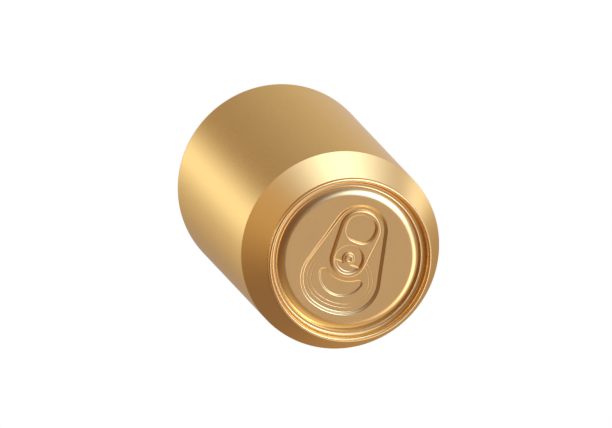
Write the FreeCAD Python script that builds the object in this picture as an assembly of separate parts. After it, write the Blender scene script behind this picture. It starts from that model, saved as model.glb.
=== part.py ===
import FreeCAD, Part
import math
import os
from FreeCAD import Vector

# A shut two-piece drink can of aluminium, millimetres, +Z up. The origin is the middle of the
# ring the can stands on. The pouring side of the lid faces -Y and the finger end of the ring
# pull lies towards +Y. The can is full and shut, so its body is one filled solid.
#
#   can_body   drawn body: domed base, standing ring, heel, straight wall, tapered neck
#   lid        pressed end: double seam, chuck wall, countersink, panel, pressings, rivet
#   tab        ring pull: rolled rim, finger hole, tongue held under the rivet's head

# ---------------------------------------------------------------- driving dimensions
can_height = 115.2          # floor to the top of the double seam
body_radius = 33.1

# base
stand_radius = 24.0         # middle of the standing ring
stand_land = 1.4            # width of the standing ring before its outer side is rounded
stand_round = 1.3
heel_height = 5.0           # where the heel's cone would meet the straight wall
heel_round = 3.5
dome_height = 10.0          # crown of the domed base above the floor
dome_wall_height = 3.9      # short side wall between the standing ring and the dome
dome_wall_lean = 0.7        # how far that wall leans in
dome_round = 1.0

# neck
neck_drop = 15.2            # from the top of the seam down to the neck's crease
neck_crease_round = 0.5
neck_inset = 1.1            # the neck stands in this far from the outside of the seam
neck_collar = 0.6           # straight stretch under the seam
neck_round = 1.0

# double seam
seam_radius = 27.3
seam_height = 2.6
seam_thickness = 1.0
seam_top_round = 0.48
seam_foot_round = 0.4

# lid inside the seam
end_depth = 3.8             # from the top of the seam down to the end's flat underside
neck_wall = 0.3             # thickness of the neck round the end's plug
chuck_lean = 0.8            # how far the chuck wall leans in down to the countersink
countersink_depth = 3.25    # below the top of the seam
countersink_width = 1.3
countersink_round = 0.6
panel_drop = 2.3            # panel's flat below the top of the seam
panel_edge_drop = 0.65
panel_edge_width = 1.39
panel_edge_round = 6.5
panel_corner_round = 0.4
panel_wall_lean = 0.32      # how far the panel's wall leans out down to the countersink

# pressings in the panel
recess_depth = 0.45
recess_wall = 1.1           # width of the recess's sloping wall
recess_clearance = 0.8      # from the ring pull's finger end to the foot of the recess's wall
recess_finger_radius = 9.3
recess_corner_radius = 11.2
recess_corner_x = 2.4
recess_corner_y = -7.25
recess_pour_radius = 18.8
crescent_depth = 0.2
crescent_wall = 0.6
crescent_outer_radius = 8.0
crescent_outer_y = -5.0
crescent_inner_radius = 9.5
crescent_inner_y = 2.35
crescent_end_radius = 1.5
score_insets = (2.5, 3.7)   # two score lines, measured in from the recess's upper edge
score_width = 0.25
score_depth = 0.08
score_end_angle = 70.0      # the score lines run out under the ring pull

# rivet
rivet_stem_radius = 1.0
rivet_head_radius = 1.45
rivet_dimple_radius = 0.75
rivet_dimple_depth = 0.15
rivet_head_round = 0.2
rivet_head_height = 0.55

# ring pull
tab_thickness = 1.25
tab_nose_radius = 6.1
tab_finger_radius = 6.8
tab_finger_y = 10.2
tab_round = 0.5
finger_rim = 1.9            # rolled rim round the finger hole
nose_rim = 1.45             # rolled rim round the eye, the opening in which the tongue lies
web_width = 1.65            # strip between the eye and the finger hole
hole_corner_radius = 4.0
hole_round = 0.4
eye_round = 0.35
tongue_radius = 2.2
tongue_root_y = -1.5        # the tongue joins the nose below this line
tongue_gauge = 0.4
tongue_clearance = 0.25     # under the tongue

# ---------------------------------------------------------------- worked-out sizes
seam_bottom = can_height - seam_height
seam_inner_radius = seam_radius - seam_thickness
neck_radius = seam_radius - neck_inset
crease_height = can_height - neck_drop
countersink_bottom = can_height - countersink_depth
chuck_foot_radius = seam_inner_radius - chuck_lean
panel_foot_radius = chuck_foot_radius - countersink_width
panel_radius = panel_foot_radius - panel_wall_lean
panel_level = can_height - panel_drop
recess_floor = panel_level - recess_depth
tab_bottom = recess_floor
tab_top = tab_bottom + tab_thickness
tongue_bottom = tab_bottom + tongue_clearance
tongue_top = tongue_bottom + tongue_gauge
rivet_top = tongue_top + rivet_head_height
end_foot = can_height - end_depth
seat_radius = neck_radius - neck_wall
eye_radius = tab_nose_radius - nose_rim
tab_end = tab_finger_y + tab_finger_radius
hole_half_width = tab_finger_radius - finger_rim
hole_half_height = (tab_end - finger_rim - eye_radius - web_width) / 2.0
hole_y = tab_end - finger_rim - hole_half_height
recess_finger_y = tab_end + recess_clearance + recess_wall - recess_finger_radius


# ---------------------------------------------------------------- drawing helpers
def rounded_corner(before, corner, after, radius):
    """Start and end of the arc that rounds a corner, and a point at its middle."""
    to_before = (before - corner).normalize()
    to_after = (after - corner).normalize()
    half = to_before.getAngle(to_after) / 2.0
    reach = radius / math.tan(half)
    middle_line = (to_before + to_after).normalize()
    middle = corner + middle_line * (radius / math.sin(half) - radius)
    return corner + to_before * reach, middle, corner + to_after * reach


def section_wire(corners):
    """Closed wire in the XZ plane from (radius, height, rounding) corners."""
    points = [Vector(r, 0, z) for r, z, _ in corners]
    count = len(points)
    spans = []
    for i, (_, _, rounding) in enumerate(corners):
        if rounding > 0:
            spans.append(rounded_corner(points[i - 1], points[i], points[(i + 1) % count], rounding))
        else:
            spans.append((points[i], None, points[i]))
    edges = []
    for i, (start, middle, end) in enumerate(spans):
        if middle is not None:
            edges.append(Part.Arc(start, middle, end).toShape())
        following = spans[(i + 1) % count][0]
        if end.distanceToPoint(following) > 1e-6:
            edges.append(Part.LineSegment(end, following).toShape())
    return Part.Wire(edges)


def turned(wire):
    """Solid made by turning a section once round the can's axis."""
    return Part.Face(wire).revolve(Vector(0, 0, 0), Vector(0, 0, 1), 360)


def arc_edge(centre_x, centre_y, radius, start_degrees, end_degrees, z):
    """Arc in a level plane from one bearing to another, either way round."""
    def at(degrees):
        bearing = math.radians(degrees)
        return Vector(centre_x + radius * math.cos(bearing), centre_y + radius * math.sin(bearing), z)
    return Part.Arc(at(start_degrees), at((start_degrees + end_degrees) / 2.0), at(end_degrees)).toShape()


def chain_wire(arcs, z, closed=True):
    """Wire of arcs (x, y, radius, start, end), with straight stretches where two lie apart."""
    edges = []
    for i, arc in enumerate(arcs):
        edge = arc_edge(*arc, z)
        if edges and edges[-1].lastVertex().Point.distanceToPoint(edge.firstVertex().Point) > 1e-4:
            edges.append(Part.makeLine(edges[-1].lastVertex().Point, edge.firstVertex().Point))
        edges.append(edge)
    if closed and edges[-1].lastVertex().Point.distanceToPoint(edges[0].firstVertex().Point) > 1e-4:
        edges.append(Part.makeLine(edges[-1].lastVertex().Point, edges[0].firstVertex().Point))
    return Part.Wire(edges)


def tangent_bearing(first_y, first_radius, second_x, second_y, second_radius):
    """Bearing of the outer tangent's normal between a circle on the Y axis and one to the right."""
    reach = math.hypot(second_x, first_y - second_y)
    base = math.atan2(second_y - first_y, second_x)
    return math.degrees(base + math.acos((first_radius - second_radius) / reach))


# ---------------------------------------------------------------- outlines on the lid
def recess_arcs(inset):
    """The teardrop recess: finger end, two wide corners and the flatter pouring end."""
    side = tangent_bearing(recess_finger_y, recess_finger_radius,
                           recess_corner_x, recess_corner_y, recess_corner_radius)
    rise = math.sqrt((recess_pour_radius - recess_corner_radius) ** 2 - recess_corner_x ** 2)
    turn = -math.degrees(math.atan2(rise, recess_corner_x))
    pour_y = recess_corner_y + rise
    return [
        (0, recess_finger_y, recess_finger_radius - inset, 180 - side, side),
        (recess_corner_x, recess_corner_y, recess_corner_radius - inset, side, turn),
        (0, pour_y, recess_pour_radius - inset, turn, -180 - turn),
        (-recess_corner_x, recess_corner_y, recess_corner_radius - inset, -180 - turn, -180 - side),
    ]


def score_arcs(inset):
    """An open score line, concentric with the recess, that ends under the ring pull."""
    corner_right, pour, corner_left = recess_arcs(inset)[1:]
    return [
        corner_right[:3] + (score_end_angle, corner_right[4]),
        pour,
        corner_left[:3] + (corner_left[3], -180 - score_end_angle),
    ]


def crescent_arcs(inset):
    """The crescent pressed in below the nose: outer arc, two round ends and a hollow inner arc."""
    to_outer = crescent_outer_radius - crescent_end_radius
    to_inner = crescent_inner_radius + crescent_end_radius
    apart = crescent_inner_y - crescent_outer_y
    along = (to_outer ** 2 - to_inner ** 2 + apart ** 2) / (2 * apart)
    end_x = math.sqrt(to_outer ** 2 - along ** 2)
    end_y = crescent_outer_y + along
    outer = math.degrees(math.atan2(along, end_x))
    inner = math.degrees(math.atan2(end_y - crescent_inner_y, end_x))
    return [
        (0, crescent_outer_y, crescent_outer_radius - inset, outer, -180 - outer),
        (-end_x, end_y, crescent_end_radius - inset, 180 - outer, -inner),
        (0, crescent_inner_y, crescent_inner_radius + inset, -180 - inner, inner),
        (end_x, end_y, crescent_end_radius - inset, 180 + inner, outer),
    ]


def pressed_pocket(arcs, level, depth, wall):
    """Solid to cut away: an outline that narrows by the wall's width down to its floor."""
    upper = chain_wire(arcs(0), level)
    floor = chain_wire(arcs(wall), level - depth)
    return Part.makeLoft([upper, floor], True, True)


def score_groove(inset):
    """Solid to cut away along one score line."""
    outer = chain_wire(score_arcs(inset - score_width / 2.0), recess_floor, closed=False)
    inner = chain_wire(score_arcs(inset + score_width / 2.0), recess_floor, closed=False)
    ends = [Part.makeLine(outer.Edges[0].firstVertex().Point, inner.Edges[0].firstVertex().Point),
            Part.makeLine(outer.Edges[-1].lastVertex().Point, inner.Edges[-1].lastVertex().Point)]
    edges = Part.__sortEdges__(outer.Edges + inner.Edges + ends)
    return Part.Face(Part.Wire(edges)).extrude(Vector(0, 0, -score_depth))


# ---------------------------------------------------------------- can body
def make_base_hollow():
    """The domed hollow inside the standing ring, drawn a little past the floor."""
    ring_inside = stand_radius - stand_land / 2.0
    dome_foot = ring_inside - dome_wall_lean
    crown = dome_height - dome_wall_height
    dome_radius = (dome_foot ** 2 + crown ** 2) / (2.0 * crown)
    past_floor = 1.0
    well = turned(section_wire([
        (0, -past_floor, 0),
        (ring_inside + dome_wall_lean * past_floor / dome_wall_height, -past_floor, 0),
        (dome_foot, dome_wall_height, 0),
        (dome_foot, dome_height, 0),
        (0, dome_height, 0),
    ]))
    hollow = well.common(Part.makeSphere(dome_radius, Vector(0, 0, dome_height - dome_radius)))
    foot = [edge for edge in hollow.Edges if edge.BoundBox.ZLength < 1e-6
            and abs(edge.BoundBox.ZMin - dome_wall_height) < 1e-6]
    return hollow.makeFillet(dome_round, foot)


def make_can_body():
    """The filled body, with its domed base, its tapered neck and the hollow that the end sits in."""
    blank = turned(section_wire([
        (0, 0, 0),
        (stand_radius + stand_land / 2.0, 0, stand_round),
        (body_radius, heel_height, heel_round),
        (body_radius, crease_height, neck_crease_round),
        (neck_radius, seam_bottom - neck_collar, neck_round),
        (neck_radius, seam_bottom, 0),
        (seat_radius, seam_bottom, 0),
        (seat_radius, end_foot, 0),
        (0, end_foot, 0),
    ]))
    return blank.cut(make_base_hollow())


# ---------------------------------------------------------------- lid
def make_end_blank():
    """The end as turned: double seam, chuck wall, countersink, plain panel and flat underside."""
    return turned(section_wire([
        (seam_radius, seam_bottom, seam_foot_round),
        (seam_radius, can_height, seam_top_round),
        (seam_inner_radius, can_height, seam_top_round),
        (chuck_foot_radius, countersink_bottom, countersink_round),
        (panel_foot_radius, countersink_bottom, countersink_round),
        (panel_radius, panel_level - panel_edge_drop, panel_corner_round),
        (panel_radius - panel_edge_width, panel_level, panel_edge_round),
        (0, panel_level, 0),
        (0, end_foot, 0),
        (seat_radius, end_foot, 0),
        (seat_radius, seam_bottom, 0),
    ]))


def make_rivet():
    """The rivet drawn up from the panel and staked over the tongue."""
    axis = Vector(0, 0, 1)
    stem = Part.makeCylinder(rivet_stem_radius, tongue_top - recess_floor, Vector(0, 0, recess_floor), axis)
    head = Part.makeCylinder(rivet_head_radius, rivet_top - tongue_top, Vector(0, 0, tongue_top), axis)
    rim = [edge for edge in head.Edges if abs(edge.BoundBox.ZMin - rivet_top) < 1e-6
           and edge.BoundBox.ZLength < 1e-6]
    head = head.makeFillet(rivet_head_round, rim)
    dimple = Part.makeCone(rivet_dimple_radius - rivet_dimple_depth, rivet_dimple_radius,
                           rivet_dimple_depth, Vector(0, 0, rivet_top - rivet_dimple_depth), axis)
    return stem.fuse(head.cut(dimple))


def make_lid():
    """The end with its recess, crescent, score lines and rivet."""
    lid = make_end_blank()
    lid = lid.cut(pressed_pocket(recess_arcs, panel_level, recess_depth, recess_wall))
    lid = lid.cut(pressed_pocket(crescent_arcs, recess_floor, crescent_depth, crescent_wall))
    for inset in score_insets:
        lid = lid.cut(score_groove(inset))
    return lid.fuse(make_rivet()).removeSplitter()


# ---------------------------------------------------------------- ring pull
def tab_outline(z):
    """Outline of the ring pull: the nose round the rivet and the wider finger end."""
    side = tangent_bearing(tab_finger_y, tab_finger_radius, 0, 0, tab_nose_radius)
    return chain_wire([
        (0, tab_finger_y, tab_finger_radius, 180 - side, side),
        (0, 0, tab_nose_radius, side, -180 - side),
    ], z)


def finger_hole(z):
    """Outline of the finger hole, a rectangle with very round corners."""
    corner = min(hole_corner_radius, hole_half_width, hole_half_height)
    x = hole_half_width - corner
    y = hole_half_height - corner
    return chain_wire([
        (x, hole_y + y, corner, 90, 0),
        (x, hole_y - y, corner, 0, -90),
        (-x, hole_y - y, corner, -90, -180),
        (-x, hole_y + y, corner, 180, 90),
    ], z)


def upright(wire, height):
    """Solid standing on a level outline."""
    return Part.Face(wire).extrude(Vector(0, 0, height))


def level_edges(solid, near, reach):
    """Edges of a plate's top and bottom that pass within reach of a point in plan."""
    found = []
    for edge in solid.Edges:
        if edge.BoundBox.ZLength < 1e-6:
            middle = edge.valueAt((edge.FirstParameter + edge.LastParameter) / 2.0)
            if math.hypot(middle.x - near[0], middle.y - near[1]) < reach:
                found.append(edge)
    return found


def make_tab():
    """The ring pull: a rolled rim round two openings, and the tongue under the rivet's head."""
    hole = upright(finger_hole(tab_bottom), tab_thickness)
    eye = Part.makeCylinder(eye_radius, tab_thickness, Vector(0, 0, tab_bottom))
    plate = upright(tab_outline(tab_bottom), tab_thickness)
    rim = plate.makeFillet(tab_round, [e for e in plate.Edges if e.BoundBox.ZLength < 1e-6])
    rim = rim.cut(hole).cut(eye)
    rim = rim.makeFillet(hole_round, level_edges(rim, (0, hole_y), hole_half_width + 0.1))
    rim = rim.makeFillet(eye_round, level_edges(rim, (0, 0), eye_radius + 0.1))

    tongue = Part.makeCylinder(tongue_radius, tongue_gauge, Vector(0, 0, tongue_bottom))
    root = Part.makeBox(2 * tongue_radius, -tongue_root_y, tongue_gauge,
                        Vector(-tongue_radius, tongue_root_y, tongue_bottom))
    reach = eye_radius + eye_round
    nose_floor = Part.makeCylinder(reach, tongue_gauge, Vector(0, 0, tongue_bottom))
    keep = Part.makeBox(2 * reach, reach + tongue_root_y, tongue_gauge,
                        Vector(-reach, -reach, tongue_bottom))
    island = tongue.fuse(root).fuse(nose_floor.common(keep))
    stem = Part.makeCylinder(rivet_stem_radius, tab_thickness, Vector(0, 0, tab_bottom))
    return rim.fuse(island).cut(stem).removeSplitter()


# ---------------------------------------------------------------- parts
os.makedirs("parts", exist_ok=True)
nodes = {"can_body": make_can_body(), "lid": make_lid(), "tab": make_tab()}
for name, shape in nodes.items():
    box = shape.BoundBox
    print(name, "valid", shape.isValid(), "solids", len(shape.Solids), "volume", round(shape.Volume, 1),
          "x", round(box.XMin, 2), round(box.XMax, 2), "y", round(box.YMin, 2), round(box.YMax, 2),
          "z", round(box.ZMin, 2), round(box.ZMax, 2))
    shape.exportStep("parts/" + name + ".step")
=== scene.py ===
"""A shut drink can in gold lacquer: drawn body, double-seamed end, rivet and ring pull.

Everything is in metres in the frame's own axes. The pouring side of the end faces -Y.
"""

import logging
import math
from dataclasses import dataclass
from enum import Enum
from typing import Callable, ClassVar, Iterable, Sequence

import bmesh
import bpy
from mathutils import Matrix, Vector

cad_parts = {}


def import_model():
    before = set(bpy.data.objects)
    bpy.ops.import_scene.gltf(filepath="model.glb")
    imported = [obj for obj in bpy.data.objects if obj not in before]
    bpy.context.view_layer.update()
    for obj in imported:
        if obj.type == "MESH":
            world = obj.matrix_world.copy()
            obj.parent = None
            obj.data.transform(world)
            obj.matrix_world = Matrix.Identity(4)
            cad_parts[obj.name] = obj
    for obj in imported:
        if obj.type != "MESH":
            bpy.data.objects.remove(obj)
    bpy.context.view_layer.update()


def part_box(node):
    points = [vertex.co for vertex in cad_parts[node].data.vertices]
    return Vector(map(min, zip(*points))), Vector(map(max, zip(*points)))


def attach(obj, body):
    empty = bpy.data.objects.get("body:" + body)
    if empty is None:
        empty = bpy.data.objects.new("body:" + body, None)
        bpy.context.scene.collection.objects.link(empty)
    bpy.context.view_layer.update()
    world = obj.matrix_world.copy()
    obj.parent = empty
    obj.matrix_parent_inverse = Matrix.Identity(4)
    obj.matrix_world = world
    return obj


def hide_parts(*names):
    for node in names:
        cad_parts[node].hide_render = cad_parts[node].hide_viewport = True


LOG = logging.getLogger("drink_can")
MM = 0.001
TIGHT = 1e-6
UP = Vector((0, 0, 1))
ACROSS = Vector((0, 1, 0))

Arc = tuple[float, float, float, float, float]


# ------------------------------------------------------------------ drawing and edit-mode tools
def deselect_all() -> None:
    """Leave edit mode and select nothing."""
    if bpy.context.object and bpy.context.object.mode != "OBJECT":
        bpy.ops.object.mode_set(mode="OBJECT")
    bpy.ops.object.select_all(action="DESELECT")


def pick_faces(piece: bpy.types.Object, wanted: Callable[[bmesh.types.BMFace], bool]) -> None:
    """Select the faces that a test wants, in edit mode.

    Args:
        piece: the piece that is open in edit mode.
        wanted: tells of one face whether it is wanted.
    """
    bpy.ops.mesh.select_all(action="DESELECT")
    bpy.ops.mesh.select_mode(type="FACE")
    mesh = bmesh.from_edit_mesh(piece.data)
    for face in mesh.faces:
        if wanted(face):
            face.select = True
    mesh.select_flush_mode()
    bmesh.update_edit_mesh(piece.data)


def pick_open_edges(piece: bpy.types.Object, level: float) -> None:
    """Select the open edges that lie at one level, in edit mode.

    Args:
        piece: the piece that is open in edit mode.
        level: the height that both ends of an edge are at.
    """
    bpy.ops.mesh.select_all(action="DESELECT")
    bpy.ops.mesh.select_mode(type="EDGE")
    mesh = bmesh.from_edit_mesh(piece.data)
    for edge in mesh.edges:
        if edge.is_boundary and all(abs(end.co.z - level) < TIGHT for end in edge.verts):
            edge.select = True
    mesh.select_flush_mode()
    bmesh.update_edit_mesh(piece.data)


class Pen:
    """Draws a chain of edges in edit mode, one extrude or spin at a time."""

    def __init__(self, name: str, start: Vector) -> None:
        """Put down the first point of a new piece.

        Args:
            name: what the piece and its mesh are called.
            start: where the point is.
        """
        deselect_all()
        bpy.ops.mesh.primitive_plane_add(size=MM)
        self.piece = bpy.context.object
        self.piece.name = name
        self.piece.data.name = name
        bpy.ops.object.mode_set(mode="EDIT")
        bpy.ops.mesh.select_mode(type="VERT")
        bpy.ops.mesh.select_all(action="SELECT")
        bpy.ops.mesh.merge(type="CENTER")
        bpy.ops.transform.translate(value=start)
        self.tip = Vector(start)

    def line(self, end: Vector) -> None:
        """Draw a straight edge, unless the pen is at its end already.

        Args:
            end: where the edge ends.
        """
        if (end - self.tip).length > TIGHT:
            bpy.ops.mesh.extrude_vertices_move(TRANSFORM_OT_translate={"value": end - self.tip})
            self.tip = Vector(end)

    def arc(self, centre: Vector, axis: Vector, angle: float, steps: int) -> None:
        """Draw an arc from the tip, turning by the right-hand rule about an axis.

        Args:
            centre: the arc's centre.
            axis: the unit axis that the arc turns about.
            angle: how far it turns, in radians.
            steps: how many edges it has.
        """
        bpy.ops.mesh.spin(steps=steps, angle=-angle, center=centre, axis=axis)
        self.tip = centre + Matrix.Rotation(angle, 3, axis) @ (self.tip - centre)

    def close(self) -> bpy.types.Object:
        """Merge the chain's doubled points.

        Returns:
            The piece, still in edit mode.
        """
        bpy.ops.mesh.select_all(action="SELECT")
        bpy.ops.mesh.remove_doubles(threshold=TIGHT)
        return self.piece


@dataclass(frozen=True)
class Corner:
    """A corner of a turned section: its radius, its height, and how far it is rounded."""

    radius: float
    height: float
    rounding: float = 0.0
    steps: int = 8

    @property
    def place(self) -> Vector:
        """The corner's point in the XZ plane."""
        return Vector((self.radius, 0, self.height))


def draw_section(name: str, corners: Sequence[Corner]) -> Pen:
    """Draw an open section of straight stretches and rounded corners in the XZ plane.

    Args:
        name: the new piece's name.
        corners: the section's corners in order; the first and last are never rounded.

    Returns:
        The pen, at the section's last corner.
    """
    pen = Pen(name, corners[0].place)
    for before, corner, after in zip(corners, corners[1:], corners[2:]):
        if corner.rounding <= 0:
            pen.line(corner.place)
            continue
        back = (before.place - corner.place).normalized()
        ahead = (after.place - corner.place).normalized()
        half = back.angle(ahead) / 2
        start = corner.place + back * (corner.rounding / math.tan(half))
        centre = corner.place + (back + ahead).normalized() * (corner.rounding / math.sin(half))
        turn = math.pi - 2 * half
        pen.line(start)
        side = back.cross(ahead).dot(ACROSS)
        pen.arc(centre, ACROSS, -math.copysign(turn, side), corner.steps)
    pen.line(corners[-1].place)
    return pen


def turn_section(name: str, corners: Sequence[Corner], rounds: int = 256) -> bpy.types.Object:
    """Draw a section and turn it once round the can's axis.

    Args:
        name: the new piece's name.
        corners: the section's corners in order.
        rounds: how many steps the turn has.

    Returns:
        The turned piece, still in edit mode.
    """
    piece = draw_section(name, corners).piece
    bpy.ops.mesh.select_all(action="SELECT")
    bpy.ops.mesh.spin(steps=rounds, angle=2 * math.pi, center=(0, 0, 0), axis=(0, 0, 1))
    bpy.ops.mesh.select_all(action="SELECT")
    bpy.ops.mesh.remove_doubles(threshold=TIGHT)
    return piece


def draw_outline(name: str, arcs: Sequence[Arc], level: float,
                 spacing: float = 0.35 * MM) -> bpy.types.Object:
    """Draw a closed level outline of arcs, with straight edges where two lie apart.

    Args:
        name: the new piece's name.
        arcs: each arc as centre x, centre y, radius, first and last bearing in degrees.
        level: the outline's height.
        spacing: about how long each short edge of an arc is.

    Returns:
        The piece, in edit mode, with its outline filled by one face that looks up.
    """
    def point(arc: Arc, bearing: float) -> Vector:
        """Find a point of an arc.

        Args:
            arc: the arc that it lies on.
            bearing: where it lies on the arc, in degrees.

        Returns:
            The point, at the outline's height.
        """
        x, y, radius = arc[:3]
        turn = math.radians(bearing)
        return Vector((x + radius * math.cos(turn), y + radius * math.sin(turn), level))

    pen = Pen(name, point(arcs[0], arcs[0][3]))
    for arc in arcs:
        turn = math.radians(arc[4] - arc[3])
        steps = max(3, round(abs(turn) * arc[2] / spacing))
        pen.line(point(arc, arc[3]))
        pen.arc(Vector((arc[0], arc[1], level)), UP, turn, steps)
    pen.line(point(arcs[0], arcs[0][3]))
    return fill_outline(pen)


def fill_outline(pen: Pen) -> bpy.types.Object:
    """Close a pen's outline with one face that looks up.

    Args:
        pen: the pen that drew the outline.

    Returns:
        The piece, in edit mode.
    """
    piece = pen.close()
    bpy.ops.mesh.edge_face_add()
    if bmesh.from_edit_mesh(piece.data).faces[:][0].normal.z < 0:
        bpy.ops.mesh.flip_normals()
    return piece


def inset_by_steps(steps: Iterable[tuple[float, float]]) -> None:
    """Inset the selected face again and again.

    Args:
        steps: how far each inset goes inwards and upwards.
    """
    for inwards, upwards in steps:
        bpy.ops.mesh.inset(thickness=inwards, depth=upwards, use_even_offset=True)


def wave_steps(width: float, depth: float, count: int = 12) -> list[tuple[float, float]]:
    """Steps down an S-shaped wall that leaves one level smoothly and meets the other smoothly.

    Args:
        width: how far the wall runs inwards.
        depth: how far it goes down.
        count: how many steps it has.

    Returns:
        The steps, inwards and upwards.
    """
    ease = [t * t * (3 - 2 * t) for t in (i / count for i in range(count + 1))]
    return [(width / count, -depth * (b - a)) for a, b in zip(ease, ease[1:])]


def shoulder_steps(radius: float, count: int = 7) -> list[tuple[float, float]]:
    """Steps over a quarter-round edge, from an upright side in and up to the flat.

    Args:
        radius: the edge's radius.
        count: how many steps it has.

    Returns:
        The steps, inwards and upwards.
    """
    turns = [math.pi / 2 * i / count for i in range(count + 1)]
    return [(radius * (math.cos(a) - math.cos(b)), radius * (math.sin(b) - math.sin(a)))
            for a, b in zip(turns, turns[1:])]


def lip_steps(radius: float, count: int = 7) -> list[tuple[float, float]]:
    """Steps over a quarter-round edge, from a flat in and down to an upright side."""
    return [(upwards, -inwards) for inwards, upwards in shoulder_steps(radius, count)]


def join_pieces(first: bpy.types.Object, *others: bpy.types.Object) -> bpy.types.Object:
    """Join pieces into the first one.

    Args:
        first: the piece that the others join.
        others: the pieces that are joined to it.

    Returns:
        The first piece, active and in edit mode.
    """
    deselect_all()
    for piece in others:
        piece.select_set(True)
    first.select_set(True)
    bpy.context.view_layer.objects.active = first
    bpy.ops.object.join()
    bpy.ops.object.mode_set(mode="EDIT")
    return first


def fill_level(piece: bpy.types.Object, level: float) -> None:
    """Close the flat between all the open loops at one level.

    Args:
        piece: the piece that is open in edit mode.
        level: the flat's height.
    """
    pick_open_edges(piece, level)
    bpy.ops.mesh.fill(use_beauty=True)


def smooth_finish(piece: bpy.types.Object, sharp: float = 50.0) -> None:
    """Turn the faces outwards and shade the piece smooth, with normals that favour the flats.

    Args:
        piece: the piece that is open in edit mode.
        sharp: the angle in degrees past which an edge stays sharp.
    """
    bpy.ops.mesh.select_all(action="SELECT")
    bpy.ops.mesh.remove_doubles(threshold=TIGHT)
    bpy.ops.mesh.normals_make_consistent(inside=False)
    bpy.ops.object.mode_set(mode="OBJECT")
    bpy.ops.object.shade_smooth_by_angle(angle=math.radians(sharp))
    bpy.ops.object.modifier_add(type="WEIGHTED_NORMAL")
    bpy.context.object.modifiers[-1].keep_sharp = True
    bpy.ops.object.modifier_apply(modifier=bpy.context.object.modifiers[-1].name)


def count_open_edges(piece: bpy.types.Object) -> int:
    """Count the edges of a finished piece that don't join exactly two faces.

    Args:
        piece: the finished piece, in object mode.

    Returns:
        How many such edges it has.
    """
    copy = bmesh.new()
    copy.from_mesh(piece.data)
    count = sum(1 for edge in copy.edges if not edge.is_manifold)
    copy.free()
    return count


# ------------------------------------------------------------------ the can's pieces
class CanPiece:
    """What the can's pieces share: the frame's node that one stands for, and the slot of its finish."""

    node: ClassVar[str]
    slot: ClassVar[str]

    def build(self) -> bpy.types.Object:
        """Shape the piece, each kind in its own way."""
        raise NotImplementedError

    def dress(self, piece: bpy.types.Object, golds: dict[str, bpy.types.Material]) -> None:
        """Give the finished piece its gold, and tie it to the frame.

        Args:
            piece: what build returned.
            golds: the finishes by name.
        """
        deselect_all()
        piece.data.materials.clear()
        piece.data.materials.append(golds[self.slot])
        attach(piece, "root")
        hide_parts(self.node)


@dataclass(frozen=True)
class EndSizes:
    """Sizes that the body and the pressed end share, from the seam in to the panel."""

    top: float
    seam_radius: float
    seam_height: float = 2.6 * MM
    seam_thickness: float = 1.0 * MM
    neck_inset: float = 1.1 * MM
    neck_wall: float = 0.3 * MM
    depth: float = 3.8 * MM
    chuck_lean: float = 0.8 * MM
    countersink_depth: float = 3.25 * MM
    countersink_width: float = 1.3 * MM
    countersink_round: float = 0.6 * MM
    panel_drop: float = 2.3 * MM
    panel_wall_lean: float = 0.32 * MM

    @property
    def seam_bottom(self) -> float:
        """Height of the seam's foot."""
        return self.top - self.seam_height

    @property
    def seam_inside(self) -> float:
        """Inside radius of the seam at its top."""
        return self.seam_radius - self.seam_thickness

    @property
    def neck_radius(self) -> float:
        """Outside radius of the neck under the seam."""
        return self.seam_radius - self.neck_inset

    @property
    def chuck_foot(self) -> float:
        """Radius at the foot of the chuck wall."""
        return self.seam_inside - self.chuck_lean

    @property
    def countersink_bottom(self) -> float:
        """Height of the countersink's bottom."""
        return self.top - self.countersink_depth

    @property
    def panel_foot(self) -> float:
        """Radius at the foot of the panel's wall."""
        return self.chuck_foot - self.countersink_width

    @property
    def panel_radius(self) -> float:
        """Radius at the top of the panel's wall."""
        return self.panel_foot - self.panel_wall_lean

    @property
    def panel_level(self) -> float:
        """Height of the panel's flat."""
        return self.top - self.panel_drop

    def underside(self) -> list[Corner]:
        """Lay out the end's underside.

        Returns:
            Its corners, from the seam's foot in to the axis.
        """
        seat = self.neck_radius - self.neck_wall
        foot = self.top - self.depth
        return [Corner(seat, self.seam_bottom), Corner(seat, foot), Corner(0, foot)]


@dataclass
class CanBody(CanPiece):
    """The drawn body: domed base, standing ring, heel, straight wall and tapered neck."""

    node = "can_body"
    slot = "body_gold"

    end: EndSizes
    radius: float
    stand_radius: float = 24.0 * MM
    stand_land: float = 1.4 * MM
    stand_round: float = 1.3 * MM
    heel_height: float = 5.0 * MM
    heel_round: float = 3.5 * MM
    dome_height: float = 10.0 * MM
    dome_wall_height: float = 3.9 * MM
    dome_wall_lean: float = 0.7 * MM
    dome_round: float = 1.0 * MM
    dome_steps: int = 24
    neck_drop: float = 15.2 * MM
    crease_round: float = 0.5 * MM
    neck_collar: float = 0.6 * MM
    neck_round: float = 1.0 * MM

    def build(self) -> bpy.types.Object:
        """Turn the body's section.

        Returns:
            The finished body.
        """
        inside = self.stand_radius - self.stand_land / 2
        foot = inside - self.dome_wall_lean
        neck = self.end.neck_radius
        crown = self.dome_height - self.dome_wall_height
        dome_radius = (foot ** 2 + crown ** 2) / (2 * crown)
        dome = [Corner(foot * share, self.dome_height - dome_radius
                       + math.sqrt(dome_radius ** 2 - (foot * share) ** 2))
                for share in (i / self.dome_steps for i in range(self.dome_steps))]
        section = dome + [
            Corner(foot, self.dome_wall_height, self.dome_round),
            Corner(inside, 0),
            Corner(self.stand_radius + self.stand_land / 2, 0, self.stand_round),
            Corner(self.radius, self.heel_height, self.heel_round, steps=12),
            Corner(self.radius, self.end.top - self.neck_drop, self.crease_round),
            Corner(neck, self.end.seam_bottom - self.neck_collar, self.neck_round),
            Corner(neck, self.end.seam_bottom),
        ]
        piece = turn_section("can_shell", section + self.end.underside())
        smooth_finish(piece)
        return piece


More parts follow.
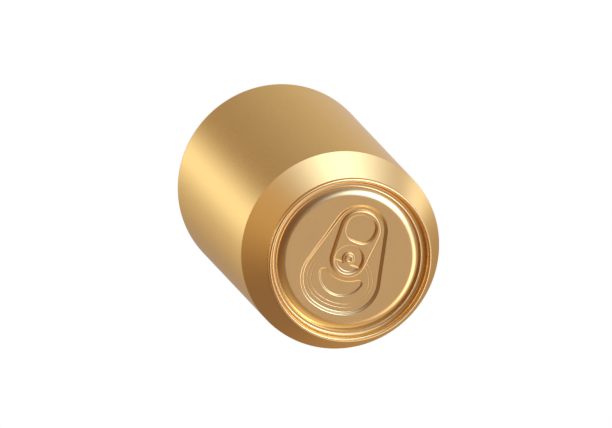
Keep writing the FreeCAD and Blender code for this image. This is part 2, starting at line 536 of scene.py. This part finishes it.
@dataclass(frozen=True)
class Pressings:
    """The shapes pressed into the panel: teardrop recess, crescent and two score lines.

    score_side is the steps down a score line's side, as shares of its width and of its depth, and
    score_end is the bearing in degrees at which a line stops under the ring pull's sides.
    """

    recess_depth: float = 0.45 * MM
    recess_wall: float = 1.1 * MM
    finger_radius: float = 9.3 * MM
    finger_clearance: float = 0.8 * MM
    corner_radius: float = 11.2 * MM
    corner_x: float = 2.4 * MM
    corner_y: float = -7.25 * MM
    pour_radius: float = 18.8 * MM
    crescent_depth: float = 0.2 * MM
    crescent_wall: float = 0.6 * MM
    crescent_outer_radius: float = 8.0 * MM
    crescent_outer_y: float = -5.0 * MM
    crescent_inner_radius: float = 9.5 * MM
    crescent_inner_y: float = 2.35 * MM
    crescent_end_radius: float = 1.5 * MM
    crescent_spacing: float = 0.2 * MM
    score_insets: tuple[float, float] = (2.5 * MM, 3.7 * MM)
    score_width: float = 0.25 * MM
    score_depth: float = 0.022 * MM
    score_side: tuple[tuple[float, float], ...] = (
        (1 / 8, 0), (1 / 8, 1 / 4), (1 / 8, 1 / 2), (1 / 20, 1 / 4))
    score_end: float = 70.0

    def recess(self, tab_end: float, inset: float = 0.0) -> list[Arc]:
        """Lay out the recess, or a line that runs along inside it.

        Args:
            tab_end: how far the ring pull reaches towards +Y.
            inset: how far inside the recess's edge the line runs.

        Returns:
            The outline's arcs.
        """
        finger_y = tab_end + self.finger_clearance + self.recess_wall - self.finger_radius
        reach = math.hypot(self.corner_x, finger_y - self.corner_y)
        side = math.degrees(math.atan2(self.corner_y - finger_y, self.corner_x)
                            + math.acos((self.finger_radius - self.corner_radius) / reach))
        rise = math.sqrt((self.pour_radius - self.corner_radius) ** 2 - self.corner_x ** 2)
        turn = -math.degrees(math.atan2(rise, self.corner_x))
        corner = self.corner_radius - inset
        return [
            (0, finger_y, self.finger_radius - inset, 180 - side, side),
            (self.corner_x, self.corner_y, corner, side, turn),
            (0, self.corner_y + rise, self.pour_radius - inset, turn, -180 - turn),
            (-self.corner_x, self.corner_y, corner, -180 - turn, -180 - side),
        ]

    def crescent(self) -> list[Arc]:
        """Lay out the crescent.

        Returns:
            Its outer arc, round end, hollow inner arc and other round end.
        """
        to_outer = self.crescent_outer_radius - self.crescent_end_radius
        to_inner = self.crescent_inner_radius + self.crescent_end_radius
        apart = self.crescent_inner_y - self.crescent_outer_y
        along = (to_outer ** 2 - to_inner ** 2 + apart ** 2) / (2 * apart)
        end_x = math.sqrt(to_outer ** 2 - along ** 2)
        end_y = self.crescent_outer_y + along
        outer = math.degrees(math.atan2(along, end_x))
        inner = math.degrees(math.atan2(end_y - self.crescent_inner_y, end_x))
        return [
            (0, self.crescent_outer_y, self.crescent_outer_radius, outer, -180 - outer),
            (-end_x, end_y, self.crescent_end_radius, 180 - outer, -inner),
            (0, self.crescent_inner_y, self.crescent_inner_radius, -180 - inner, inner),
            (end_x, end_y, self.crescent_end_radius, 180 + inner, outer),
        ]

    def score(self, tab_end: float, inset: float) -> list[Arc]:
        """Lay out a score line's narrow groove.

        Args:
            tab_end: how far the ring pull reaches towards +Y.
            inset: how far inside the recess's edge the groove's middle runs.

        Returns:
            Arcs out along one side of the groove and back along the other.
        """
        def side(extra: float) -> list[Arc]:
            """Lay out one side of the groove.

            Args:
                extra: how far inside the groove's middle the side runs.

            Returns:
                The side's three arcs.
            """
            right, pour, left = self.recess(tab_end, inset + extra)[1:]
            return [(*right[:3], self.score_end, right[4]), pour,
                    (*left[:3], left[3], -180 - self.score_end)]
        inner = side(self.score_width / 2)[::-1]
        back = [(x, y, radius, last, first) for x, y, radius, first, last in inner]
        return side(-self.score_width / 2) + back


@dataclass
class PressedEnd(CanPiece):
    """The end: double seam, chuck wall, countersink, and the panel with its pressings."""

    node = "lid"
    slot = "end_gold"

    sizes: EndSizes
    tab_end: float
    pressings: Pressings = Pressings()
    seam_top_round: float = 0.48 * MM
    seam_foot_round: float = 0.4 * MM
    panel_edge_drop: float = 0.65 * MM
    panel_edge_width: float = 1.39 * MM
    panel_edge_round: float = 6.5 * MM
    panel_corner_round: float = 0.4 * MM
    panel_flat: float = 20.2 * MM
    support: float = 0.08 * MM

    def build(self) -> bpy.types.Object:
        """Turn the end and press its panel.

        Returns:
            The finished end.
        """
        sizes, shapes = self.sizes, self.pressings
        level = sizes.panel_level
        floor = level - shapes.recess_depth
        turned = self.turn()
        recess = draw_outline("recess", shapes.recess(self.tab_end, -self.support), level)
        inset_by_steps([(self.support, 0), *wave_steps(shapes.recess_wall, shapes.recess_depth),
                        (self.support, 0)])
        bpy.ops.mesh.delete(type="FACE")
        crescent = draw_outline("crescent", shapes.crescent(), floor, shapes.crescent_spacing)
        inset_by_steps([(self.support / 2, 0),
                        *wave_steps(shapes.crescent_wall, shapes.crescent_depth, count=9)])
        grooves = [self.cut_score(inset, floor) for inset in shapes.score_insets]
        end = join_pieces(turned, recess, crescent, *grooves)
        fill_level(end, level)
        fill_level(end, floor)
        smooth_finish(end)
        return end

    def turn(self) -> bpy.types.Object:
        """Turn the seam, the chuck wall, the countersink and the panel's edge.

        Returns:
            The turned piece, open where the panel's flat will be.
        """
        sizes = self.sizes
        section = sizes.underside()[::-1] + [
            Corner(sizes.seam_radius, sizes.seam_bottom, self.seam_foot_round),
            Corner(sizes.seam_radius, sizes.top, self.seam_top_round, steps=10),
            Corner(sizes.seam_inside, sizes.top, self.seam_top_round, steps=10),
            Corner(sizes.chuck_foot, sizes.countersink_bottom, sizes.countersink_round, steps=10),
            Corner(sizes.panel_foot, sizes.countersink_bottom, sizes.countersink_round, steps=10),
            Corner(sizes.panel_radius, sizes.panel_level - self.panel_edge_drop, self.panel_corner_round),
            Corner(sizes.panel_radius - self.panel_edge_width, sizes.panel_level,
                   self.panel_edge_round, steps=16),
            Corner(self.panel_flat, sizes.panel_level),
        ]
        return turn_section("pressed_end", section)

    def cut_score(self, inset: float, floor: float) -> bpy.types.Object:
        """Draw one score line's groove and press it.

        Args:
            inset: how far inside the recess's edge the groove's middle runs.
            floor: the recess's floor.

        Returns:
            The groove, in edit mode.
        """
        groove = draw_outline("score", self.pressings.score(self.tab_end, inset), floor)
        width, depth = self.pressings.score_width, self.pressings.score_depth
        inset_by_steps([(width * inwards, -depth * down) for inwards, down in self.pressings.score_side])
        return groove


@dataclass
class Rivet(CanPiece):
    """The rivet drawn up from the panel and staked over the ring pull's tongue.

    floor is the recess's floor, and seat the tongue's top.
    """

    node = "lid"
    slot = "end_gold"

    floor: float
    seat: float
    foot_depth: float = 0.1 * MM
    stem_radius: float = 1.0 * MM
    head_radius: float = 1.45 * MM
    head_height: float = 0.55 * MM
    head_round: float = 0.2 * MM
    head_foot_round: float = 0.05 * MM
    dimple_radius: float = 0.75 * MM
    dimple_depth: float = 0.15 * MM
    dimple_round: float = 0.1 * MM
    rounds: int = 96

    def build(self) -> bpy.types.Object:
        """Turn the rivet's section.

        Returns:
            The finished rivet.
        """
        foot = self.floor - self.foot_depth
        top = self.seat + self.head_height
        dimple = top - self.dimple_depth
        section = [
            Corner(0, foot),
            Corner(self.stem_radius, foot),
            Corner(self.stem_radius, self.seat),
            Corner(self.head_radius, self.seat, self.head_foot_round, steps=4),
            Corner(self.head_radius, top, self.head_round),
            Corner(self.dimple_radius, top, self.dimple_round),
            Corner(self.dimple_radius - self.dimple_depth, dimple, self.dimple_round),
            Corner(0, dimple),
        ]
        piece = turn_section("rivet", section, self.rounds)
        smooth_finish(piece)
        return piece


@dataclass
class RingPull(CanPiece):
    """The ring pull: a rolled rim round the finger hole and the eye, and the riveted tongue.

    The dish is the hollow wall that rises from the nose's floor to the rim. Its toe lies on the
    floor, and it sinks a little into the floor and the rim, so that no faces lie in one plane.
    """

    node = "tab"
    slot = "tab_gold"

    bottom: float
    thickness: float = 1.25 * MM
    nose_radius: float = 6.1 * MM
    finger_radius: float = 6.8 * MM
    finger_y: float = 10.2 * MM
    edge_round: float = 0.5 * MM
    finger_rim: float = 1.9 * MM
    nose_rim: float = 1.45 * MM
    web_width: float = 1.65 * MM
    hole_corner: float = 4.0 * MM
    hole_round: float = 0.4 * MM
    eye_round: float = 0.35 * MM
    tongue_radius: float = 2.2 * MM
    tongue_root_y: float = -1.5 * MM
    tongue_height: float = 0.65 * MM
    tongue_round: float = 0.3 * MM
    tongue_reach: float = 5.5 * MM
    dish_width: float = 0.85 * MM
    dish_rise: float = 0.35 * MM
    dish_sink: float = 0.1 * MM
    dish_toe_width: float = 0.3 * MM
    dish_toe_rise: float = 0.02 * MM
    dish_toe_drop: float = 0.03 * MM
    dish_round: float = 0.5 * MM
    dish_rounds: int = 128
    spacing: float = 0.25 * MM
    support: float = 0.05 * MM

    @property
    def end(self) -> float:
        """How far the finger end reaches towards +Y."""
        return self.finger_y + self.finger_radius

    @property
    def top(self) -> float:
        """Height of the rim's top."""
        return self.bottom + self.thickness

    @property
    def middle(self) -> float:
        """Height of the rim's middle plane."""
        return self.bottom + self.thickness / 2

    @property
    def tongue_top(self) -> float:
        """Height of the tongue's top."""
        return self.bottom + self.tongue_height

    @property
    def eye_radius(self) -> float:
        """Radius of the opening in which the tongue lies."""
        return self.nose_radius - self.nose_rim

    def outline(self) -> list[Arc]:
        """Lay out the ring pull's outside.

        Returns:
            The arcs of the finger end, and of the nose round the rivet.
        """
        side = math.degrees(math.acos((self.finger_radius - self.nose_radius) / self.finger_y) - math.pi / 2)
        return [(0, self.finger_y, self.finger_radius, 180 - side, side),
                (0, 0, self.nose_radius, side, -180 - side)]

    def finger_hole(self, grow: float) -> list[Arc]:
        """Lay out the finger hole, a rectangle with very round corners.

        Args:
            grow: how far outside the hole the outline runs.

        Returns:
            The arcs of the four corners.
        """
        half_width = self.finger_radius - self.finger_rim
        half_height = (self.end - self.finger_rim - self.eye_radius - self.web_width) / 2
        middle = self.end - self.finger_rim - half_height
        corner = min(self.hole_corner, half_width, half_height)
        x, y = half_width - corner, half_height - corner
        turns = ((x, y, 90), (x, -y, 0), (-x, -y, -90), (-x, y, -180))
        return [(dx, middle + dy, corner + grow, first, first - 90) for dx, dy, first in turns]

    def build(self) -> bpy.types.Object:
        """Shape the rim, the tongue and the nose's dish, and join them.

        Returns:
            The finished ring pull.
        """
        rim = self.shape_rim()
        tongue = self.shape_tongue()
        dish = self.shape_dish()
        piece = join_pieces(rim, tongue, dish)
        smooth_finish(piece)
        return piece

    def shape_rim(self) -> bpy.types.Object:
        """Shape the rim's upper half, fill its flat, and mirror it to the lower half.

        Returns:
            The closed rim, in object mode.
        """
        rim = draw_outline("ring_pull", self.outline(), self.middle, self.spacing)
        straight = self.thickness / 2 - self.edge_round
        bpy.ops.mesh.extrude_region_move(TRANSFORM_OT_translate={"value": (0, 0, straight)})
        inset_by_steps([*shoulder_steps(self.edge_round), (self.support, 0)])
        bpy.ops.mesh.delete(type="FACE")
        pick_faces(rim, lambda face: len(face.verts) > 4)
        bpy.ops.mesh.delete(type="FACE")
        hole = self.shape_hole("hole", self.finger_hole(self.hole_round + self.support), self.hole_round)
        reach = self.eye_radius + self.eye_round + self.support
        eye = self.shape_hole("eye", [(0, 0, reach, 180, 0), (0, 0, reach, 0, -180)], self.eye_round)
        join_pieces(rim, hole, eye)
        fill_level(rim, self.top)
        bpy.ops.mesh.select_all(action="SELECT")
        bpy.ops.mesh.duplicate()
        bpy.ops.transform.resize(value=(1, 1, -1), center_override=(0, 0, self.middle))
        bpy.ops.mesh.flip_normals()
        bpy.ops.mesh.select_all(action="SELECT")
        bpy.ops.mesh.remove_doubles(threshold=TIGHT)
        bpy.ops.object.mode_set(mode="OBJECT")
        return rim

    def shape_hole(self, name: str, arcs: list[Arc], rounding: float) -> bpy.types.Object:
        """Shape the upper half of a hole's side, with its rounded lip.

        Args:
            name: the new piece's name.
            arcs: the hole's outline on the flat, outside its lip and the support strip.
            rounding: the lip's radius.

        Returns:
            The piece, open at the top and in the rim's middle plane.
        """
        hole = draw_outline(name, arcs, self.top, self.spacing)
        inset_by_steps([(self.support, 0), *lip_steps(rounding)])
        down = rounding - self.thickness / 2
        bpy.ops.mesh.extrude_region_move(TRANSFORM_OT_translate={"value": (0, 0, down)})
        bpy.ops.mesh.delete(type="FACE")
        return hole

    def shape_tongue(self) -> bpy.types.Object:
        """Shape the flat tongue with the nose's floor, and round its edges.

        Its outer arc lies hidden in the rim, so that arc is left coarse.

        Returns:
            The closed tongue, in object mode.
        """
        centre = Vector((0, 0, self.bottom))
        root = math.asin(self.tongue_root_y / self.tongue_radius)
        side = math.asin(self.tongue_root_y / self.tongue_reach)
        start = Vector((-self.tongue_radius * math.cos(root), self.tongue_root_y, self.bottom))
        pen = Pen("tongue", start)
        pen.arc(centre, UP, 2 * root - math.pi, steps=72)
        pen.line(Vector((self.tongue_reach * math.cos(side), self.tongue_root_y, self.bottom)))
        pen.arc(centre, UP, -math.pi - 2 * side, steps=4)
        pen.line(start)
        tongue = fill_outline(pen)
        bpy.ops.mesh.extrude_region_move(
            TRANSFORM_OT_translate={"value": (0, 0, self.tongue_height - self.tongue_round)})
        inset_by_steps([*shoulder_steps(self.tongue_round, count=6), (self.support, 0)])
        pick_faces(tongue, lambda face: len(face.verts) > 4)
        bpy.ops.mesh.delete(type="FACE")
        fill_level(tongue, self.tongue_top)
        fill_level(tongue, self.bottom)
        bpy.ops.object.mode_set(mode="OBJECT")
        return tongue

    def shape_dish(self) -> bpy.types.Object:
        """Turn the dish, and cut it off at the tongue's root.

        Returns:
            The closed dish, in object mode.
        """
        floor = self.tongue_top
        inner, outer = self.eye_radius - self.dish_width, self.eye_radius + self.dish_sink
        section = [
            Corner(inner, floor - self.dish_toe_drop),
            Corner(inner + self.dish_toe_width, floor + self.dish_toe_rise, self.dish_round),
            Corner(outer, floor + self.dish_rise),
            Corner(outer, floor - self.dish_sink),
            Corner(inner, floor - self.dish_sink),
            Corner(inner, floor - self.dish_toe_drop),
        ]
        dish = turn_section("dish", section, self.dish_rounds)
        bpy.ops.mesh.select_all(action="SELECT")
        bpy.ops.mesh.bisect(plane_co=(0, self.tongue_root_y - self.tongue_round, 0), plane_no=ACROSS,
                            use_fill=True, clear_outer=True)
        bpy.ops.object.mode_set(mode="OBJECT")
        return dish


# ------------------------------------------------------------------ finishes
class GrainRun(Enum):
    """Which way a metal's fine lines run, as a stretch of the pattern along X, Y and Z."""

    DRAWN_UP = (1.0, 1.0, 0.03)
    ROLLED = (1.0, 0.04, 1.0)
    STAMPED = (1.0, 1.0, 1.0)


class Pattern(Enum):
    """A noise in the lacquer: how fine it is, per metre, and how much detail it has."""

    MOTTLE = (60.0, 3.0)
    LINES = (4000.0, 4.0)
    WAVINESS = (1500.0, 1.0)


@dataclass(frozen=True)
class GoldLacquer:
    """A satin gold lacquer over bright aluminium."""

    name: str
    colour: tuple[float, float, float]
    edge_colour: tuple[float, float, float]
    roughness: float
    run: GrainRun
    roughness_spread: float = 0.03
    tone_spread: float = 0.04
    grain_depth: float = 0.002 * MM

    def make(self, grain: bpy.types.NodeTree) -> bpy.types.Material:
        """Build the material round the shared lacquer grain group.

        Args:
            grain: the node group that build_lacquer_grain makes.

        Returns:
            The finished material.
        """
        material = bpy.data.materials.new(self.name)
        material.use_nodes = True
        nodes, links = material.node_tree.nodes, material.node_tree.links
        shader = nodes["Principled BSDF"]
        shader.inputs["Metallic"].default_value = 1
        shader.inputs["Specular Tint"].default_value = (*self.edge_colour, 1)
        place = nodes.new("ShaderNodeTexCoord")
        lay = nodes.new("ShaderNodeMapping")
        lay.inputs["Scale"].default_value = self.run.value
        links.new(place.outputs["Object"], lay.inputs["Vector"])
        lacquer = nodes.new("ShaderNodeGroup")
        lacquer.node_tree = grain
        links.new(place.outputs["Object"], lacquer.inputs["Place"])
        links.new(lay.outputs["Vector"], lacquer.inputs["Grain Place"])
        for socket, value in (("Colour", (*self.colour, 1)), ("Tone Spread", self.tone_spread),
                              ("Roughness", self.roughness), ("Roughness Spread", self.roughness_spread)):
            lacquer.inputs[socket].default_value = value
        bump = nodes.new("ShaderNodeBump")
        bump.inputs["Distance"].default_value = self.grain_depth
        links.new(lacquer.outputs["Height"], bump.inputs["Height"])
        links.new(lacquer.outputs["Colour"], shader.inputs["Base Color"])
        links.new(lacquer.outputs["Roughness"], shader.inputs["Roughness"])
        links.new(bump.outputs["Normal"], shader.inputs["Normal"])
        return material


def build_lacquer_grain(line_height: float = 0.6) -> bpy.types.NodeTree:
    """Build the node group that all the gold finishes share.

    Args:
        line_height: how high the fine lines stand, as a share of the waviness.

    Returns:
        A group that mottles a colour and a roughness over the surface, and gives the height of
        the fine metal lines and of the lacquer's slight waviness.
    """
    group = bpy.data.node_groups.new("lacquer_grain", "ShaderNodeTree")
    for name, kind in (("Place", "Vector"), ("Grain Place", "Vector"), ("Colour", "Color"),
                       ("Tone Spread", "Float"), ("Roughness", "Float"), ("Roughness Spread", "Float")):
        group.interface.new_socket(name, in_out="INPUT", socket_type=f"NodeSocket{kind}")
    for name, kind in (("Colour", "Color"), ("Roughness", "Float"), ("Height", "Float")):
        group.interface.new_socket(name, in_out="OUTPUT", socket_type=f"NodeSocket{kind}")
    nodes, links = group.nodes, group.links
    given, result = nodes.new("NodeGroupInput"), nodes.new("NodeGroupOutput")

    def noise(vector: str, pattern: Pattern) -> bpy.types.NodeSocket:
        """Add a noise.

        Args:
            vector: which of the group's vectors it reads.
            pattern: which noise it is.

        Returns:
            The noise's value.
        """
        node = nodes.new("ShaderNodeTexNoise")
        node.inputs["Scale"].default_value, node.inputs["Detail"].default_value = pattern.value
        links.new(given.outputs[vector], node.inputs["Vector"])
        return node.outputs["Fac"]

    def math_node(operation: str, *values: bpy.types.NodeSocket | float) -> bpy.types.NodeSocket:
        """Add a math node.

        Args:
            operation: what it works out.
            values: its inputs, each a socket or a plain number.

        Returns:
            The node's value.
        """
        node = nodes.new("ShaderNodeMath")
        node.operation = operation
        for socket, value in zip(node.inputs, values):
            if isinstance(value, bpy.types.NodeSocket):
                links.new(value, socket)
            else:
                socket.default_value = value
        return node.outputs[0]

    mottle = math_node("SUBTRACT", noise("Place", Pattern.MOTTLE), 0.5)
    lines = math_node("SUBTRACT", noise("Grain Place", Pattern.LINES), 0.5)
    waviness = noise("Place", Pattern.WAVINESS)
    blotches = math_node("ADD", mottle, lines)
    tone = math_node("MULTIPLY_ADD", blotches, given.outputs["Tone Spread"], 1)
    shade = nodes.new("ShaderNodeVectorMath")
    shade.operation = "SCALE"
    links.new(given.outputs["Colour"], shade.inputs[0])
    links.new(tone, shade.inputs["Scale"])
    links.new(shade.outputs[0], result.inputs["Colour"])
    rough = math_node("MULTIPLY_ADD", blotches, given.outputs["Roughness Spread"],
                      given.outputs["Roughness"])
    links.new(rough, result.inputs["Roughness"])
    links.new(math_node("MULTIPLY_ADD", lines, line_height, waviness), result.inputs["Height"])
    return group


# ------------------------------------------------------------------ studio
class Tint(Enum):
    """The colour of a soft light."""

    PLAIN = (1.0, 1.0, 1.0)
    COOL = (0.75, 1.0, 1.3)
    CREAM = (1.1, 1.0, 0.85)
    WARM = (1.2, 1.0, 0.55)


@dataclass(frozen=True)
class SoftLight:
    """A wide soft light far from the can, part of the studio's surround.

    bearing is measured from +X towards +Y and height above the floor, in degrees; spread is the
    light's half width in degrees, where it has faded to about three fifths.
    """

    name: str
    bearing: float
    height: float
    spread: float
    strength: float
    tint: Tint

    @property
    def towards(self) -> Vector:
        """Unit vector from the can to the light."""
        rise, turn = math.radians(self.height), math.radians(self.bearing)
        return Vector((math.cos(rise) * math.cos(turn), math.cos(rise) * math.sin(turn), math.sin(rise)))


@dataclass
class Studio:
    """A plain pale floor in a pale surround, with soft lights all round."""

    lights: Sequence[SoftLight]
    fill: tuple[float, float, float] = (0.165, 0.08, 0.04)
    floor_size: float = 6.0
    floor_gap: float = 0.02 * MM
    pale: float = 1.0

    def lay_floor(self) -> None:
        """Lay the pale floor under the can."""
        deselect_all()
        bpy.ops.mesh.primitive_plane_add(size=self.floor_size, location=(0, 0, -self.floor_gap))
        floor = bpy.context.object
        floor.name = "floor"
        finish = bpy.data.materials.new("pale_floor")
        finish.use_nodes = True
        nodes, links = finish.node_tree.nodes, finish.node_tree.links
        nodes.remove(nodes["Principled BSDF"])
        glow = nodes.new("ShaderNodeEmission")
        glow.inputs["Color"].default_value = (self.pale, self.pale, self.pale, 1)
        links.new(glow.outputs[0], nodes["Material Output"].inputs["Surface"])
        floor.data.materials.append(finish)
        floor.visible_glossy = False
        floor.visible_diffuse = False
        floor.visible_shadow = False

    def light(self) -> None:
        """Build the surround: pale to the camera, and soft lights to the can."""
        world = bpy.data.worlds.new("studio")
        bpy.context.scene.world = world
        world.use_nodes = True
        nodes, links = world.node_tree.nodes, world.node_tree.links
        backdrop = nodes["Background"]
        backdrop.inputs["Color"].default_value = (self.pale, self.pale, self.pale, 1)
        where = nodes.new("ShaderNodeTexCoord")
        total = None
        for light in self.lights:
            glow = self.add_light(nodes, links, where.outputs["Generated"], light)
            add = nodes.new("ShaderNodeVectorMath")
            links.new(glow, add.inputs[0])
            if total is None:
                add.inputs[1].default_value = self.fill
            else:
                links.new(total, add.inputs[1])
            total = add.outputs[0]
        lamps = nodes.new("ShaderNodeBackground")
        links.new(total, lamps.inputs["Color"])
        seen = nodes.new("ShaderNodeLightPath")
        choose = nodes.new("ShaderNodeMixShader")
        links.new(seen.outputs["Is Camera Ray"], choose.inputs[0])
        links.new(lamps.outputs[0], choose.inputs[1])
        links.new(backdrop.outputs[0], choose.inputs[2])
        links.new(choose.outputs[0], nodes["World Output"].inputs["Surface"])

    @staticmethod
    def add_light(nodes: bpy.types.Nodes, links: bpy.types.NodeLinks, where: bpy.types.NodeSocket,
                  light: SoftLight) -> bpy.types.NodeSocket:
        """Add one soft light to the surround.

        Args:
            nodes: the surround's nodes.
            links: the surround's links.
            where: the direction that is looked in.
            light: the light to add.

        Returns:
            The light's colour in that direction.
        """
        facing = nodes.new("ShaderNodeVectorMath")
        facing.operation = "DOT_PRODUCT"
        facing.inputs[1].default_value = light.towards
        links.new(where, facing.inputs[0])
        steep = 1 / math.radians(light.spread) ** 2
        fade = nodes.new("ShaderNodeMath")
        fade.operation = "MULTIPLY_ADD"
        fade.inputs[1].default_value = steep
        fade.inputs[2].default_value = math.log(light.strength) - steep
        links.new(facing.outputs["Value"], fade.inputs[0])
        glow = nodes.new("ShaderNodeMath")
        glow.operation = "EXPONENT"
        links.new(fade.outputs[0], glow.inputs[0])
        tinted = nodes.new("ShaderNodeVectorMath")
        tinted.operation = "SCALE"
        tinted.inputs[0].default_value = light.tint.value
        tinted.label = light.name
        links.new(glow.outputs[0], tinted.inputs["Scale"])
        return tinted.outputs[0]


@dataclass(frozen=True)
class Camera:
    """A camera without perspective that looks down on the can's end.

    All angles are in degrees. tilt is the angle between its view and the can's axis, and bearing,
    from +X towards +Y, is the way that it looks. The can's top points right and down in the picture,
    lean degrees below level. right and below are how far the aim lies from the picture's middle, and
    aim_depth is how far the aim lies below the seam's top.
    """

    tilt: float = 18.75
    bearing: float = -25.35
    lean: float = 46.6
    right: float = 14.3 * MM
    below: float = 15.05 * MM
    aim_depth: float = 0.8 * MM
    width: float = 199.35 * MM
    distance: float = 0.6
    far_limit: float = 10.0

    def stand(self, end: Vector) -> None:
        """Stand the camera and make it the scene's own.

        Args:
            end: the middle of the can's end, at the seam's top.
        """
        tilt, bearing, lean = (math.radians(angle) for angle in (self.tilt, self.bearing, self.lean))
        across = Vector((math.cos(bearing), math.sin(bearing), 0))
        along = UP.cross(across)
        axis = UP * math.sin(tilt) + across * math.cos(tilt)
        back = UP * math.cos(tilt) - across * math.sin(tilt)
        right = axis * math.cos(lean) + along * math.sin(lean)
        up = along * math.cos(lean) - axis * math.sin(lean)
        data = bpy.data.cameras.new("camera")
        data.type = "ORTHO"
        data.ortho_scale = self.width
        data.clip_end = self.far_limit
        camera = bpy.data.objects.new("camera", data)
        bpy.context.scene.collection.objects.link(camera)
        aim = end - UP * self.aim_depth
        place = aim - right * self.right + up * self.below + back * self.distance
        turned = Matrix((right, up, back)).transposed().to_4x4()
        camera.matrix_world = Matrix.Translation(place) @ turned
        bpy.context.scene.camera = camera


# ------------------------------------------------------------------ building it all
BODY_GOLD = GoldLacquer("body_gold", (0.80, 0.53, 0.24), (0.90, 0.66, 0.38), 0.28, GrainRun.DRAWN_UP)
END_GOLD = GoldLacquer("end_gold", (0.92, 0.66, 0.34), (0.90, 0.66, 0.38), 0.16, GrainRun.ROLLED)
TAB_GOLD = GoldLacquer("tab_gold", (0.92, 0.66, 0.34), (0.90, 0.66, 0.38), 0.16, GrainRun.STAMPED)
LIGHTS = (
    SoftLight("overhead", 37, 66, 7, 6.0, Tint.COOL),
    SoftLight("panel_glow", -12, 58, 6, 2.3, Tint.CREAM),
    SoftLight("front_warm", -70, 45, 15, 0.6, Tint.WARM),
    SoftLight("window", 100, 2, 24, 2.9, Tint.COOL),
    SoftLight("front_side", -44, 0, 19, 1.55, Tint.CREAM),
    SoftLight("right_side", 25, 0, 30, 0.6, Tint.PLAIN),
    SoftLight("left_warm", 180, -12, 30, 0.45, Tint.WARM),
    SoftLight("front_low", -95, 2, 18, 0.3, Tint.PLAIN),
    SoftLight("neck_glint", 36, -30, 7, 1.5, Tint.COOL),
    SoftLight("wall_strip", -159, -60, 7, 3.3, Tint.COOL),
    SoftLight("wall_front", -120, -59, 9, 0.8, Tint.COOL),
    SoftLight("wall_broad", 18, -75, 21, 0.8, Tint.COOL),
)


def main() -> None:
    """Build the can and its studio."""
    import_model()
    sizes = EndSizes(top=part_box("lid")[1].z, seam_radius=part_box("lid")[1].x)
    body = CanBody(sizes, radius=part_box("can_body")[1].x)
    pull = RingPull(bottom=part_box("tab")[0].z)
    end = PressedEnd(sizes, tab_end=pull.end)
    rivet = Rivet(floor=pull.bottom, seat=pull.tongue_top)
    grain = build_lacquer_grain()
    golds = {finish.name: finish.make(grain) for finish in (BODY_GOLD, END_GOLD, TAB_GOLD)}
    for part in (body, end, rivet, pull):
        piece = part.build()
        part.dress(piece, golds)
        faces, gaps = len(piece.data.polygons), count_open_edges(piece)
        LOG.info("%s: %d faces, %d open edges", piece.name, faces, gaps)
    studio = Studio(LIGHTS)
    studio.lay_floor()
    studio.light()
    bpy.context.scene.view_settings.view_transform = "Standard"
    Camera().stand(UP * sizes.top)


if __name__ == "__main__":
    logging.basicConfig(level=logging.INFO, format="%(name)s: %(message)s")
    main()
